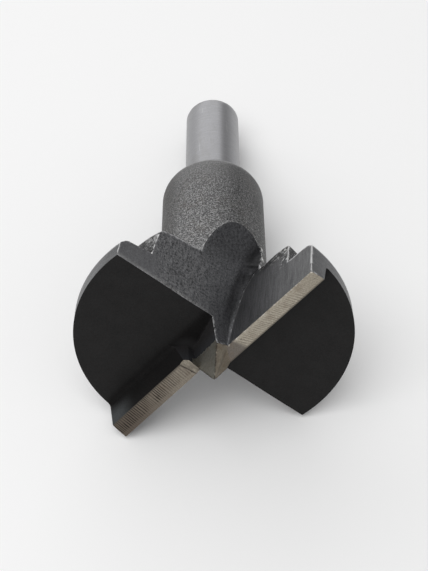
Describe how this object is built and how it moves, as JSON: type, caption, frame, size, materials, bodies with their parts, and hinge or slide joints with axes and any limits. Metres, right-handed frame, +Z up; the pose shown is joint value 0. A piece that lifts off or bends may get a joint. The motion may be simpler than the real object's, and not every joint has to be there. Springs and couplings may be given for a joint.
{
  "type": "forstner bit",
  "caption": "Winged forstner bit in one piece of steel: plain round shank, stout collar, hub and wings with raised cutting lips around a ground centre point, for flat-bottomed holes in wood.",
  "frame": {"origin": "on the ground, below the middle of the bit as it lies at rest", "axes": "+Y towards the shank end, +Z up; the tool axis lies in the YZ plane and slopes down towards the shank"},
  "size_m": [0.0448, 0.074, 0.0352],
  "materials": {
    "tool_steel": "dark tool steel: blasted collar, satin shank, ground lips, blackened wing bottoms"
  },
  "bodies": {
    "root": {"forstner_bit": "tool_steel"}
  },
  "joints": []
}
